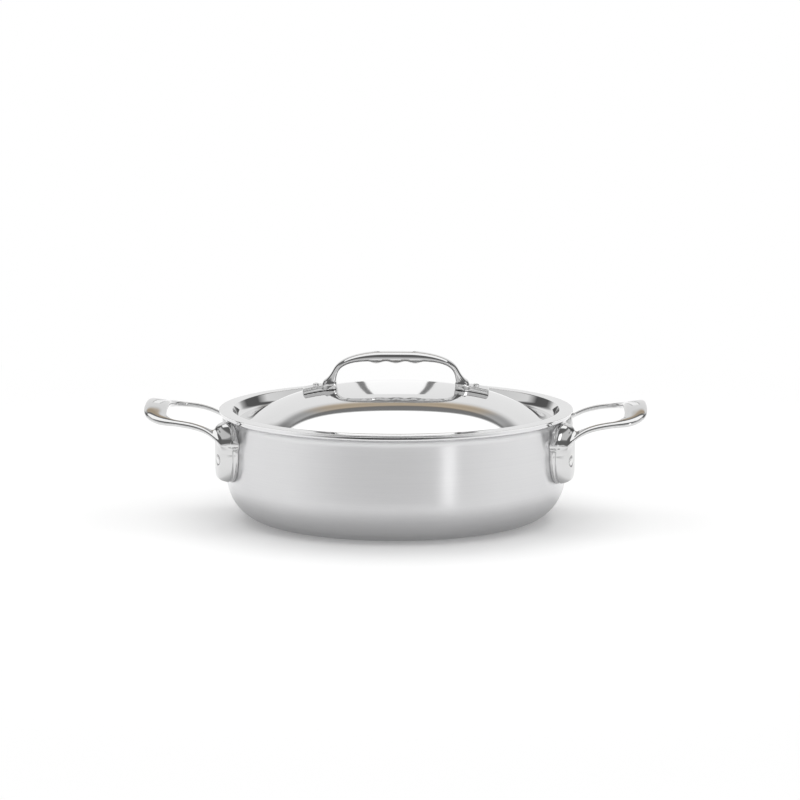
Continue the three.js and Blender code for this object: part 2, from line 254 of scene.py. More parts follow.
def lathe(name, profile, steps=ROUND_STEPS, crease=40):
    """A closed profile of (radius, height) points turned about Z, counter-clockwise from the axis."""
    points, rings = [], []
    for radius, height in profile:
        if radius < TINY:
            rings.append([len(points)] * steps)
            points.append((0, 0, height))
            continue
        rings.append(list(range(len(points), len(points) + steps)))
        turn = 2 * np.pi * np.arange(steps) / steps
        points += [(radius * math.cos(a), radius * math.sin(a), height) for a in turn]
    faces = []
    for low, high in zip(rings, rings[1:]):
        for i in range(steps):
            j = (i + 1) % steps
            face = list(dict.fromkeys((low[i], low[j], high[j], high[i])))
            if len(face) > 2:
                faces.append(face)
    mesh = mesh_of(name, points, faces)
    mesh.set_sharp_from_angle(angle=math.radians(crease))
    return mesh


def edge_crossings(value):
    """For each axis: which grid edges cross zero, how far along them, and which of them start inside."""
    found = []
    for axis in range(3):
        count = value.shape[axis]
        first = value.take(range(count - 1), axis)
        second = value.take(range(1, count), axis)
        crossing = (first < 0) != (second < 0)
        share = np.where(crossing, first / np.where(crossing, first - second, 1), 0)
        found.append((crossing, share, first < 0))
    return found


def cell_points(crossings, cells):
    """The number of each crossed cell, or -1, and a point in each, the mean of the crossings on its edges."""
    total = np.zeros(cells + (3,))
    count = np.zeros(cells, int)
    for axis, (crossing, share, _) in enumerate(crossings):
        others = [a for a in range(3) if a != axis]
        for shift in ((0, 0), (0, 1), (1, 0), (1, 1)):
            part = [slice(None)] * 3
            for other, offset in zip(others, shift):
                part[other] = slice(offset, offset + cells[other])
            hit = crossing[tuple(part)]
            count += hit
            total[..., axis] += share[tuple(part)]
            for other, offset in zip(others, shift):
                total[..., other] += hit * offset
    used = np.argwhere(count > 0)
    number = np.full(cells, -1)
    number[tuple(used.T)] = np.arange(len(used))
    return number, used + total[tuple(used.T)] / count[tuple(used.T)][:, None]


def crossing_faces(crossings, number):
    """One four-sided face round each crossed edge, through the points of the cells that share it."""
    faces = []
    for axis, (crossing, _, starts_inside) in enumerate(crossings):
        second, third = (axis + 1) % 3, (axis + 2) % 3
        at = np.argwhere(crossing)
        keep = np.ones(len(at), bool)
        for other in (second, third):
            keep &= (at[:, other] > 0) & (at[:, other] < crossing.shape[other] - 1)
        at = at[keep]
        ring = []
        for back in ((1, 1), (0, 1), (0, 0), (1, 0)):
            cell = at.copy()
            cell[:, second] -= back[0]
            cell[:, third] -= back[1]
            ring.append(number[tuple(cell.T)])
        quads = np.column_stack(ring)
        turned = ~starts_inside[tuple(at.T)]
        quads[turned] = quads[turned][:, ::-1]
        faces.append(quads)
    return np.vstack(faces)


def surface_nets(field, low, high, step):
    """Points and four-sided faces where a field of x, y and z crosses zero: negative is inside."""
    axes = [np.arange(a, b + step, step) for a, b in zip(low, high)]
    value = field(axes[0][:, None, None], axes[1][None, :, None], axes[2][None, None, :])
    crossings = edge_crossings(value)
    number, places = cell_points(crossings, tuple(n - 1 for n in value.shape))
    points = np.array([a[0] for a in axes]) + step * places
    return points, crossing_faces(crossings, number)


def settle(points, field, rounds=4, probe=0.1, least_slope=0.5, longest_move=0.4):
    """Points moved onto the field's surface, and the surface's normals there."""
    for _ in range(rounds):
        slope = np.column_stack([
            (field(*(points + d).T) - field(*(points - d).T)) / (2 * probe)
            for d in np.eye(3) * probe
        ])
        steep = np.maximum((slope ** 2).sum(1), least_slope ** 2)
        move = np.clip(field(*points.T) / steep, -longest_move, longest_move)
        points = points - move[:, None] * slope
    return points, slope / np.maximum(np.linalg.norm(slope, axis=1), TINY)[:, None]


def evenly(points, count):
    """A line of points sampled again at equal steps of its length."""
    length = np.r_[0, np.cumsum(np.linalg.norm(np.diff(points, axis=0), axis=1))]
    shares = np.linspace(0, length[-1], count)
    return np.column_stack([np.interp(shares, length, points[:, i]) for i in range(3)])


def arm_section(across, up, half_width, above, below):
    """Distance outside a squared-off oval: negative inside."""
    half_depth = np.where(up < 0, below, above)
    n = ARM_SQUARENESS
    a, b = np.abs(across) / half_width, np.abs(up) / half_depth
    reach = np.maximum((a ** n + b ** n) ** (1 / n), MIDDLE_GUARD)
    slope = np.hypot(a ** (n - 1) / half_width, b ** (n - 1) / half_depth) * reach ** (1 - n)
    return (reach - 1) / np.maximum(slope, SLOPE_GUARD)


def arch_section(across, up, half_width, above, below):
    """Distance outside a flat-topped bar with bevelled upper edges, a round nose and an undercut."""
    side = np.abs(across)
    top, nose, bottom = up - above + side ** 2 / (2 * TOP_ROUND), side - half_width, -up - below
    bevel_start = side - BEVEL_START * half_width
    bevel = bevel_start * math.sin(BEVEL_ANGLE) + top * math.cos(BEVEL_ANGLE)
    upper = smooth_max(smooth_max(top, bevel, SMALL_ROUND), nose, NOSE_ROUND * above)
    undercut_start = nose + UNDERCUT_START * below
    undercut = undercut_start * math.cos(UNDERCUT_ANGLE) + bottom * math.sin(UNDERCUT_ANGLE)
    return smooth_max(upper, smooth_max(undercut, bottom, SMALL_ROUND), SMALL_ROUND)


class Sweep:
    """A section swept along a line, as a field: negative inside.

    The nearest place on the line is looked for in one plane, given by its two axes."""

    CHUNK = 4000
    SHARPEST_BOW = 0.2

    def __init__(self, line, plane, across, up, half_width, half_above, half_below, section):
        self.line, self.plane, self.section = line, list(plane), section
        self.frame = np.column_stack([line, across, up, half_width, half_above, half_below])
        run = np.gradient(line[:, self.plane], axis=0)
        self.spacing = np.linalg.norm(run, axis=1)
        self.along = run / self.spacing[:, None]
        self.turning = np.gradient(self.along, axis=0) / self.spacing[:, None]

    def place(self, p, q):
        shape = np.broadcast(p, q).shape
        p, q = (np.broadcast_to(v, shape).ravel() for v in (p, q))
        flat = self.line[:, self.plane]
        found = np.empty(len(p))
        for start in range(0, len(p), self.CHUNK):
            part = slice(start, start + self.CHUNK)
            here = np.column_stack([p[part], q[part]])
            away = (here[:, None, 0] - flat[:, 0]) ** 2 + (here[:, None, 1] - flat[:, 1]) ** 2
            nearest = np.argmin(away, axis=1)
            gap = here - flat[nearest]
            past = (gap * self.along[nearest]).sum(1)
            bowed = np.maximum(1 - (gap * self.turning[nearest]).sum(1), self.SHARPEST_BOW)
            found[part] = nearest + np.clip(past / (bowed * self.spacing[nearest]), -1, 1)
        return found.reshape(shape)

    def __call__(self, x, y, z):
        xyz = (x, y, z)
        where = self.place(*(xyz[i] for i in self.plane))
        index = np.arange(len(self.line))
        values = [np.interp(where, index, column) for column in self.frame.T]
        middle, across, up, half_sizes = values[:3], values[3:6], values[6:9], values[9:]
        offsets = [v - m for v, m in zip(xyz, middle)]
        sideways = sum(o * a for o, a in zip(offsets, across))
        upwards = sum(o * u for o, u in zip(offsets, up))
        return self.section(sideways, upwards, *half_sizes)


# Pan body
def pan_outside_radius(z):
    """Radius of the outside of the pan at a height."""
    corner = np.sqrt(np.clip(1 - (np.clip(CORNER_RISE - z, 0, CORNER_RISE) / CORNER_RISE) ** 2, 0, 1))
    flare = np.sqrt(np.clip(1 - (np.clip(z - FLARE_FOOT, 0, FLARE_RISE) / FLARE_RISE) ** 2, 0, 1))
    wall = WALL_RADIUS - CORNER_RUN * (1 - corner) + FLARE_RUN * (1 - flare)
    return np.where(z > PAN_HEIGHT - LIP_DEPTH, LIP_RADIUS, wall)


# Where the arcs of the flare and the lip end, in degrees
FLARE_END = 84
LIP_START = -82
MOUTH_START = 88


def pan_profile():
    corner = (WALL_RADIUS - CORNER_RUN, CORNER_RISE)
    flare = (WALL_RADIUS + FLARE_RUN, FLARE_FOOT)
    edge = LIP_RADIUS - LIP_BULGE
    brow = LIP_RADIUS - EDGE_ROUND
    heights = np.linspace(PAN_HEIGHT - LIP_DEPTH / 2, PAN_HEIGHT - EDGE_ROUND, LIP_STEPS)[1:-1]
    face = [(LIP_RADIUS, z) for z in heights]
    inside = (INNER_RADIUS + FLARE_RUN, FLARE_FOOT)
    wall = [(WALL_RADIUS, z) for z in np.linspace(CORNER_RISE, FLARE_FOOT, WALL_STEPS)[1:-1]]
    base = [(r, 0) for r in np.linspace(0, corner[0], FLAT_STEPS)[:-1]]
    floor = [(r, PAN_SHEET) for r in np.linspace(corner[0], 0, FLAT_STEPS)[1:]]
    return [
        *base,
        *arc(corner, CORNER_RUN, CORNER_RISE, -90, 0, CORNER_STEPS),
        *wall,
        *arc(flare, -FLARE_RUN, FLARE_RISE, 0, FLARE_END, FLARE_STEPS),
        *arc((edge, PAN_HEIGHT - LIP_DEPTH / 2), LIP_BULGE, LIP_DEPTH / 2, LIP_START, 0, BEND_STEPS),
        *face,
        *arc((brow, PAN_HEIGHT - EDGE_ROUND), EDGE_ROUND, EDGE_ROUND, 0, 90, EDGE_STEPS),
        *arc(inside, -FLARE_RUN, PAN_HEIGHT - FLARE_FOOT, MOUTH_START, 0, FLARE_STEPS),
        *arc(corner, CORNER_RUN - PAN_SHEET, CORNER_RISE - PAN_SHEET, 0, -90, CORNER_STEPS),
        *floor,
    ]


# Lid shell
def dome_height(radius):
    share = (radius / DOME_RADIUS) ** 2
    fall = DOME_FLATNESS * share + (1 - DOME_FLATNESS) * share * share
    return DOME_TOP - (DOME_TOP - VALLEY_FLOOR) * fall


def dome_slope(radius):
    share = (radius / DOME_RADIUS) ** 2
    fall = 2 * DOME_FLATNESS * share + 4 * (1 - DOME_FLATNESS) * share * share
    return (DOME_TOP - VALLEY_FLOOR) * fall / np.maximum(radius, TINY)


def lid_upper_line():
    """The lid's upper side, from the middle of the dome over the valley and the step to the flange."""
    blend = DOME_RADIUS - VALLEY_ROUND
    upper = [(r, dome_height(r)) for r in np.linspace(0, blend, DOME_STEPS)]
    low = (DOME_RADIUS + VALLEY_ROUND, VALLEY_FLOOR)
    upper += bend(upper[-1], (DOME_RADIUS, VALLEY_FLOOR), low, BEND_STEPS)
    share = VALLEY_ROUND / VALLEY_DEPTH
    wall = (lerp(VALLEY_OUTER, STEP_RADIUS, share), lerp(VALLEY_FLOOR, LID_TOP, share))
    start = (VALLEY_OUTER - VALLEY_ROUND, VALLEY_FLOOR)
    upper.append(start)
    upper += bend(start, (VALLEY_OUTER, VALLEY_FLOOR), wall, BEND_STEPS)
    share = STEP_BEND / VALLEY_DEPTH
    top = (lerp(STEP_RADIUS, VALLEY_OUTER, share), lerp(LID_TOP, VALLEY_FLOOR, share))
    upper.append(top)
    upper += bend(top, (STEP_RADIUS, LID_TOP), (STEP_RADIUS + STEP_BEND, LID_TOP), STEP_BEND_STEPS)
    edge = FLANGE_RADIUS - EDGE_ROUND
    flange = np.linspace(STEP_RADIUS + STEP_BEND, edge, RIM_STEPS)
    upper += [(r, lerp(LID_TOP, RIM_TOP, (r - flange[0]) / (edge - flange[0]))) for r in flange[1:]]
    return upper


def lid_rim():
    """The lid's rounded edge, from its lower side to its upper one."""
    edge = FLANGE_RADIUS - EDGE_ROUND
    low, high = RIM_TOP - LID_SHEET + EDGE_ROUND, RIM_TOP - EDGE_ROUND
    rim = arc((edge, low), EDGE_ROUND, EDGE_ROUND, -90, 0, RIM_STEPS)[1:]
    rim += [(FLANGE_RADIUS, z) for z in np.linspace(low, high, RIM_STEPS)[1:-1]]
    return rim + arc((edge, high), EDGE_ROUND, EDGE_ROUND, 0, 90, RIM_STEPS)[:-1]


def lid_profile():
    upper = lid_upper_line()
    line = np.array(upper)
    along = np.gradient(line, axis=0)
    along /= np.linalg.norm(along, axis=1)[:, None]
    lower = line + LID_SHEET * np.column_stack([along[:, 1], -along[:, 0]])
    lower[:, 0] = np.maximum(lower[:, 0], 0)
    lower[0] = (0, DOME_TOP - LID_SHEET)
    return [*map(tuple, lower), *lid_rim(), *reversed(upper)]


# Side handles
def arm_rise(reach):
    """Height of an arm's middle line over the foot's middle, at a distance from the wall."""
    t = np.linspace(0, 1, ARM_SAMPLES)[:, None]
    corners = ((0, ROOT_RISE), SHOULDER, NECK, (GRIP_REACH, GRIP_RISE))
    a, b, c, d = (np.array(p, float) for p in corners)
    curve = (1 - t) ** 3 * a + 3 * t * (1 - t) ** 2 * b + 3 * t * t * (1 - t) * c + t ** 3 * d
    return np.interp(reach, curve[:, 0], curve[:, 1])


def handle_loop():
    angle = np.pi * (1 - np.linspace(0, 1, CURVE_SAMPLES))
    side = squared(np.cos(angle), LOOP_SQUARENESS)
    share = squared(np.sin(angle), LOOP_SQUARENESS)
    reach = lerp(ROOT_START, GRIP_REACH, share)
    spread = lerp(ARM_SPREAD, ROOT_SPREAD, fade(reach, ROOT_RUN))
    height = FOOT_MIDDLE + arm_rise(reach) + GRIP_LIFT * (1 - side ** 2)
    line = evenly(np.column_stack([WALL_RADIUS + reach, -side * spread, height]), LINE_SAMPLES)
    along = np.gradient(line, axis=0)
    along[:, 2] = 0
    along /= np.linalg.norm(along, axis=1)[:, None]
    reach = line[:, 0] - WALL_RADIUS
    root = fade(reach, ROOT_RUN)
    grip = smoothstep(reach / GRIP_REACH, GRIP_FROM, 1)
    half_width = lerp(ARM_HALF_WIDTH, GRIP_HALF_WIDTH, grip) + ROOT_FLARE_WIDTH * root
    half_depth = lerp(ARM_HALF_DEPTH, GRIP_HALF_DEPTH, grip)
    tilt = lerp(ARM_TILT, GRIP_TILT, along[:, 1] ** 2)
    outward = np.column_stack([-along[:, 1], along[:, 0], 0 * tilt])
    upright = np.array([0, 0, 1])
    across = outward * np.cos(tilt)[:, None] + upright * np.sin(tilt)[:, None]
    up = upright * np.cos(tilt)[:, None] - outward * np.sin(tilt)[:, None]
    return Sweep(line, (0, 1), across, up, half_width, half_depth, half_depth, arm_section)


def foot_axes(x, y, turn):
    """Distance out from the wall along a foot's axis, and to its side."""
    reach = x * math.cos(turn) + y * math.sin(turn) - WALL_RADIUS
    return reach, y * math.cos(turn) - x * math.sin(turn)


def foot_field(x, y, z, turn):
    reach, side = foot_axes(x, y, turn)
    n = FOOT_SQUARENESS
    a = np.abs(side) / FOOT_HALF_WIDTH
    b = np.abs(z - FOOT_MIDDLE) / FOOT_HALF_HEIGHT
    ring = np.maximum((a ** n + b ** n) ** (1 / n), FOOT_GUARD)
    slope = np.hypot(a ** (n - 1) / FOOT_HALF_WIDTH, b ** (n - 1) / FOOT_HALF_HEIGHT) * ring ** (1 - n)
    outline = (ring - 1) / np.maximum(slope, SLOPE_GUARD)
    row = np.maximum(np.clip(1 - b ** n, 0, 1) ** (1 / n), MIDDLE_GUARD)
    across = np.minimum(a / row, 1)
    along = np.minimum(b, 1)
    round_back = 1 - across ** CROWN_OVER_SIDES
    round_ends = 1 - along ** CROWN_OVER_ENDS
    crown = FOOT_EDGE + FOOT_CROWN * round_back * round_ends
    steep_back = CROWN_OVER_SIDES * across ** (CROWN_OVER_SIDES - 1) / (FOOT_HALF_WIDTH * row)
    steep_ends = CROWN_OVER_ENDS * along ** (CROWN_OVER_ENDS - 1) / FOOT_HALF_HEIGHT
    steep = FOOT_CROWN * np.hypot(steep_back * round_ends, steep_ends * round_back)
    face = (reach - crown) / np.sqrt(1 + steep ** 2)
    groove = np.hypot(outline, reach - FOOT_EDGE) - GROOVE
    return smooth_max(smooth_max(outline, face, SMALL_ROUND), -groove, SMALL_ROUND)


def side_handle_field():
    loop = handle_loop()

    def field(x, y, z):
        feet = np.minimum(foot_field(x, y, z, FOOT_ANGLE), foot_field(x, y, z, -FOOT_ANGLE))
        solid = smooth_min(loop(x, y, z) + FACET_INSET, feet, CASTING_FILLET)
        for turn in (RIVET_ANGLE, -RIVET_ANGLE):
            reach, side = foot_axes(x, y, turn)
            well = np.hypot(side, z - RIVET_HEIGHT) - RIVET_HEAD - SPOT_MARGIN
            spot = np.maximum(well, SPOT_RADIUS - WALL_RADIUS - reach)
            solid = smooth_max(solid, -spot, SMALL_ROUND)
        wall = pan_outside_radius(z) + TOUCH_GAP - np.hypot(x, y)
        return smooth_max(solid, wall, SMALL_ROUND / 2)

    return field


# Lid handle
def lid_arch():
    angle = np.pi * (1 - np.linspace(0, 1, CURVE_SAMPLES))
    side = squared(np.cos(angle), ARCH_SQUARENESS)
    share = squared(np.sin(angle), ARCH_SQUARENESS)
    root_height = dome_height(ARCH_HALF_SPAN) + PLATE_THICKNESS
    height = lerp(root_height - PLATE_THICKNESS / 2, DOME_TOP + ARCH_RISE, share)
    flare = LEG_FLARE * fade(height - root_height, LEG_FLARE_RISE)
    line = evenly(np.column_stack([side * (ARCH_HALF_SPAN + flare), 0 * side, height]), LINE_SAMPLES)
    along = np.gradient(line, axis=0)
    along /= np.linalg.norm(along, axis=1)[:, None]
    outward = np.column_stack([-along[:, 2], 0 * along[:, 0], along[:, 0]])
    x, z = line[:, 0], line[:, 2]
    grip = 1 - smoothstep(np.abs(x) / ARCH_HALF_SPAN, ARCH_GRIP_FULL, ARCH_GRIP_GONE)
    root = fade(z - root_height, LEG_FLARE_RISE)
    half_width = lerp(LEG_HALF_WIDTH, GRIP_ARCH_HALF_WIDTH, np.maximum(grip, root))
    above = lerp(LEG_HALF_DEPTH, GRIP_ARCH_ABOVE, grip) + LEG_FLARE * root
    below = lerp(LEG_HALF_DEPTH, GRIP_ARCH_BELOW, grip) + LEG_FLARE * root
    wave = (1 + np.cos(2 * np.pi * x / SCALLOP_PITCH)) / 2
    ridge = np.where(np.abs(x) < SCALLOP_COUNT * SCALLOP_PITCH / 2, SCALLOP_DEPTH * wave, 0)
    across = np.tile([0.0, 1.0, 0.0], (LINE_SAMPLES, 1))
    middle = line + outward * (GRIP_ARCH_RAISE * grip)[:, None]
    return Sweep(middle, (0, 2), across, outward, half_width, above, below + ridge, arch_section)


def lid_handle_field():
    arch = lid_arch()
    middle = (PLATE_INNER + PLATE_OUTER) / 2
    half_length = (PLATE_OUTER - PLATE_INNER) / 2

    def field(x, y, z):
        lean = 1 / np.sqrt(1 + dome_slope(np.abs(x)) ** 2)
        over = (z - dome_height(np.abs(x))) * lean - TOUCH_GAP
        ends = np.abs(np.abs(x) - middle) - half_length
        plate = smooth_max(ends, np.abs(y) - PLATE_HALF_WIDTH, SMALL_ROUND)
        plate = smooth_max(plate, over - SEAT_GAP - PLATE_THICKNESS, SMALL_ROUND)
        solid = smooth_min(arch(x, y, z), plate, LEG_FILLET)
        return smooth_max(solid, -over, SMALL_ROUND / 2)

    return field


# Rivets
def rivet_profile(shank, head, head_rise, tail, tail_rise, grip):
    """A rivet along Z with its head over the seat at height 0 and a formed tail below the grip."""
    head_edge, tail_edge = head_rise / 4, tail_rise / 4
    return [
        *arc((0, -grip - tail_edge), tail, tail_rise - tail_edge, -90, 0, TAIL_STEPS),
        (tail, -grip),
        (shank, -grip),
        (shank, TOUCH_GAP),
        (head, TOUCH_GAP),
        *arc((0, TOUCH_GAP + head_edge), head, head_rise - head_edge, 0, 90, HEAD_STEPS),
    ]


# Materials
def node(tree, kind, **inputs):
    """A shader node with its named inputs set, or linked where the value is a socket."""
    made = tree.nodes.new(kind)
    for name, value in inputs.items():
        socket = made.inputs[int(name[1:]) if name[0] == "_" else name.replace("_", " ")]
        if isinstance(value, bpy.types.NodeSocket):
            tree.links.new(value, socket)
        else:
            socket.default_value = value
    return made


def calc(tree, operation, first, second=0.0, third=0.0):
    made = node(tree, "ShaderNodeMath", _0=first, _1=second, _2=third)
    made.operation = operation
    return made.outputs[0]


def times(tree, first, second):
    return calc(tree, "MULTIPLY", first, second)


def plus(tree, first, second):
    return calc(tree, "ADD", first, second)


def rest_of(tree, share):
    """What a share leaves of 1."""
    return calc(tree, "SUBTRACT", 1.0, share)


def length_of(tree, vector):
    made = node(tree, "ShaderNodeVectorMath", _0=vector)
    made.operation = "LENGTH"
    return made.outputs["Value"]


def span(tree, value, low, high):
    """From 0 at the low value to 1 at the high one, easing at both ends."""
    made = node(tree, "ShaderNodeMapRange", Value=value, From_Min=low, From_Max=high)
    made.interpolation_type = "SMOOTHSTEP"
    return made.outputs["Result"]


def window(tree, value, rise, fall):
    """1 between two soft edges, each a pair of values, and 0 outside them."""
    return times(tree, span(tree, value, *rise), rest_of(tree, span(tree, value, *fall)))


def dimmed(tree, tone, mask, share):
    """A tone made darker by a share of itself where a mask is 1."""
    return times(tree, tone, rest_of(tree, times(tree, mask, share)))


def ramp(tree, value, stops):
    """A colour ramp through (place, grey or colour) stops."""
    made = node(tree, "ShaderNodeValToRGB", Fac=value)
    elements = made.color_ramp.elements
    while len(elements) < len(stops):
        elements.new(0.5)
    for element, (place, tone) in zip(elements, stops):
        element.position = place
        element.color = (*(tone if hasattr(tone, "__len__") else (tone,) * 3), 1)
    return made.outputs["Color"]


def noise(tree, vector, scale, detail, roughness=0.5):
    return node(tree, "ShaderNodeTexNoise", Vector=vector, Scale=scale, Detail=detail,
                Roughness=roughness).outputs["Fac"]


def steel(name):
    """A new metal material, its tree and shader, and a place in the object with its x, y, z and radius."""
    material = bpy.data.materials.new(name)
    material.use_nodes = True
    tree = material.node_tree
    shader = tree.nodes["Principled BSDF"]
    shader.inputs["Metallic"].default_value = 1
    place = tree.nodes.new("ShaderNodeTexCoord").outputs["Object"]
    x, y, z = node(tree, "ShaderNodeSeparateXYZ", Vector=place).outputs
    flat = node(tree, "ShaderNodeCombineXYZ", X=x, Y=y).outputs[0]
    return material, tree, shader, place, (x, y, z, length_of(tree, flat))


def spun_coordinates(tree, x, y, z, radius, fine, coarse):
    """A place for noise that makes long lines round the axis, as spinning and brushing leave."""
    across = times(tree, radius, fine)
    along = times(tree, z, fine)
    round_about = times(tree, calc(tree, "SUBTRACT", x, y), coarse)
    return node(tree, "ShaderNodeCombineXYZ", X=across, Y=along, Z=round_about).outputs[0]


def roughened(tree, shader, height, strength):
    """Fine lines of a tenth of a millimetre that break up a reflection."""
    bump = node(tree, "ShaderNodeBump", Strength=strength, Distance=0.1 * MM, Height=height)
    tree.links.new(bump.outputs[0], shader.inputs["Normal"])


# Brushing of the pan: lines per metre across and along them, clouds per metre, tones, roughness, polished lip
BRUSH_LINES = (1500, 22)
BRUSH_CLOUDS = 9
CLOUD_SHARE = 0.3
BRUSHED_TONES = [(0.3, (0.76, 0.76, 0.77)), (0.7, (0.80, 0.80, 0.805))]
BRUSHED_ROUGHNESS = 0.27
BRUSHED_SPREAD = 0.05
BRUSHED_STRETCH = 0.93
QUARTER_TURN = 0.25
BRUSHED_GRAIN = 0.015
LIP_POLISH = 0.85
LIP_POLISH_FROM = (PAN_HEIGHT - LIP_DEPTH - 0.6) * MM
LIP_POLISH_FULL = (PAN_HEIGHT - LIP_DEPTH + 0.2) * MM


def brushed_steel():
    material, tree, shader, place, (x, y, z, radius) = steel("brushed_steel")
    spun = spun_coordinates(tree, x, y, z, radius, *BRUSH_LINES)
    lines = noise(tree, spun, scale=1, detail=5, roughness=0.65)
    cloud = noise(tree, place, scale=BRUSH_CLOUDS, detail=3)
    tone = plus(tree, times(tree, lines, 1 - CLOUD_SHARE), times(tree, cloud, CLOUD_SHARE))
    tree.links.new(ramp(tree, tone, BRUSHED_TONES), shader.inputs["Base Color"])
    satin = plus(tree, BRUSHED_ROUGHNESS, times(tree, lines, BRUSHED_SPREAD))
    lip = span(tree, z, LIP_POLISH_FROM, LIP_POLISH_FULL)
    tree.links.new(dimmed(tree, satin, lip, LIP_POLISH), shader.inputs["Roughness"])
    shader.inputs["Anisotropic"].default_value = BRUSHED_STRETCH
    shader.inputs["Anisotropic Rotation"].default_value = QUARTER_TURN
    tangent = tree.nodes.new("ShaderNodeTangent")
    tangent.direction_type = "RADIAL"
    tangent.axis = "Z"
    tree.links.new(tangent.outputs[0], shader.inputs["Tangent"])
    roughened(tree, shader, lines, BRUSHED_GRAIN)
    return material


# Polish: hair lines per metre across and along them, wiping marks per metre, and how far the tone varies
HAIR_LINES = (2600, 60)
WIPING_MARKS = 22
POLISHED_SPREAD = 0.03


def polished_steel(name, tone, rough, smear, grain):
    """Mirror-polished steel with faint wiping marks and hair lines."""
    material, tree, shader, place, (x, y, z, radius) = steel(name)
    cloud = noise(tree, place, scale=WIPING_MARKS, detail=4, roughness=0.6)
    tones = [(0.3, tone - POLISHED_SPREAD), (0.7, tone)]
    tree.links.new(ramp(tree, cloud, tones), shader.inputs["Base Color"])
    wiped = plus(tree, rough, times(tree, cloud, smear))
    tree.links.new(wiped, shader.inputs["Roughness"])
    spun = spun_coordinates(tree, x, y, z, radius, *HAIR_LINES)
    lines = noise(tree, spun, scale=1, detail=3, roughness=0.6)
    roughened(tree, shader, lines, grain)
    return material


BRUSHED = brushed_steel()
POLISHED_LID = polished_steel("polished_lid", tone=0.84, rough=0.03, smear=0.03, grain=0.003)
POLISHED_CAST = polished_steel("polished_cast", tone=0.71, rough=0.035, smear=0.05, grain=0.012)
POLISHED_RIVET = polished_steel("polished_rivet", tone=0.80, rough=0.08, smear=0.06, grain=0.012)


# The visible pieces
def piece(name, mesh, body, cad_node, material, place=Matrix.Identity(4)):
    """A visible piece that stands for one CAD node and moves with its body."""
    mesh.transform(place)
    made = bpy.data.objects.new(name, mesh)
    bpy.context.scene.collection.objects.link(made)
    made.data.materials.append(material)
    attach(made, body)
    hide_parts(cad_node)
    return made


HANDS = (("right", 0), ("left", math.pi))


def add_side_handles():
    field = side_handle_field()
    low = (INNER_RADIUS * math.cos(FOOT_ANGLE) - HANDLE_DEPTH, -HANDLE_HALF_SPAN,
           FOOT_MIDDLE - FOOT_HALF_HEIGHT - GRID_MARGIN)
    high = (WALL_RADIUS + GRIP_REACH + GRIP_HALF_WIDTH + GRID_MARGIN, HANDLE_HALF_SPAN,
            PAN_HEIGHT + HANDLE_HEADROOM)
    points, faces = surface_nets(field, low, high, HANDLE_STEP)
    points, normals = settle(points, field)
    for hand, half_turn in HANDS:
        turn = np.array(Matrix.Rotation(half_turn, 3, "Z"))
        name = f"{hand}_cast_handle"
        mesh = mesh_of(name, points @ turn.T, faces, normals @ turn.T)
        piece(name, mesh, "pan", f"{hand}_side_handle", POLISHED_CAST)


def add_lid_handle():
    field = lid_handle_field()
    arch_top = DOME_TOP + ARCH_RISE + GRIP_ARCH_RAISE + GRIP_ARCH_ABOVE
    low = (-PLATE_OUTER - GRID_MARGIN, -LID_HANDLE_HALF_SPAN, dome_height(PLATE_OUTER) - GRID_MARGIN)
    high = (PLATE_OUTER + GRID_MARGIN, LID_HANDLE_HALF_SPAN, arch_top + GRID_MARGIN)
    points, faces = surface_nets(field, low, high, LID_HANDLE_STEP)
    points, normals = settle(points, field)
    mesh = mesh_of("cast_lid_handle", points, faces, normals)
    piece("cast_lid_handle", mesh, "lid", "lid_handle", POLISHED_CAST)


def add_side_rivet(hand, half_turn, turn):
    end = "front" if math.sin(half_turn + turn) < 0 else "back"
    tail_seat = math.sqrt(INNER_RADIUS ** 2 - RIVET_TAIL ** 2)
    profile = rivet_profile(RIVET_SHANK, RIVET_HEAD, RIVET_HEAD_RISE + SEAT_GAP, RIVET_TAIL,
                            RIVET_TAIL_RISE, SPOT_RADIUS - tail_seat)
    place = Matrix.Rotation(half_turn + turn, 4, "Z")
    place @= Matrix.Translation((SPOT_RADIUS * MM, 0, RIVET_HEIGHT * MM))
    place @= Matrix.Rotation(math.pi / 2, 4, "Y")
    name = f"{hand}_{end}_rivet_steel"
    mesh = lathe(name, profile, RIVET_STEPS)
    piece(name, mesh, "pan", f"{hand}_{end}_rivet", POLISHED_RIVET, place)


def add_lid_rivet(hand, half_turn):
    lean = math.atan(dome_slope(LID_RIVET_AT))
    rise = SEAT_GAP + PLATE_THICKNESS
    profile = rivet_profile(LID_RIVET_SHANK, LID_RIVET_HEAD, LID_RIVET_HEAD_RISE + SEAT_GAP,
                            LID_RIVET_TAIL, LID_RIVET_TAIL_RISE, rise + LID_SHEET + TOUCH_GAP)
    seat = Vector((LID_RIVET_AT + rise * math.sin(lean), 0,
                   dome_height(LID_RIVET_AT) + rise * math.cos(lean))) * MM
    place = Matrix.Rotation(half_turn, 4, "Z") @ Matrix.Translation(seat)
    place @= Matrix.Rotation(lean, 4, "Y")
    name = f"lid_{hand}_rivet_steel"
    mesh = lathe(name, profile, LID_RIVET_STEPS)
    piece(name, mesh, "lid", f"lid_{hand}_rivet", POLISHED_RIVET, place)


piece("steel_pan", lathe("steel_pan", pan_profile()), "pan", "pan_body", BRUSHED)
piece("steel_lid", lathe("steel_lid", lid_profile()), "lid", "lid_shell", POLISHED_LID)
add_side_handles()
add_lid_handle()
for hand, half_turn in HANDS:
    for turn in (RIVET_ANGLE, -RIVET_ANGLE):
        add_side_rivet(hand, half_turn, turn)
    add_lid_rivet(hand, half_turn)


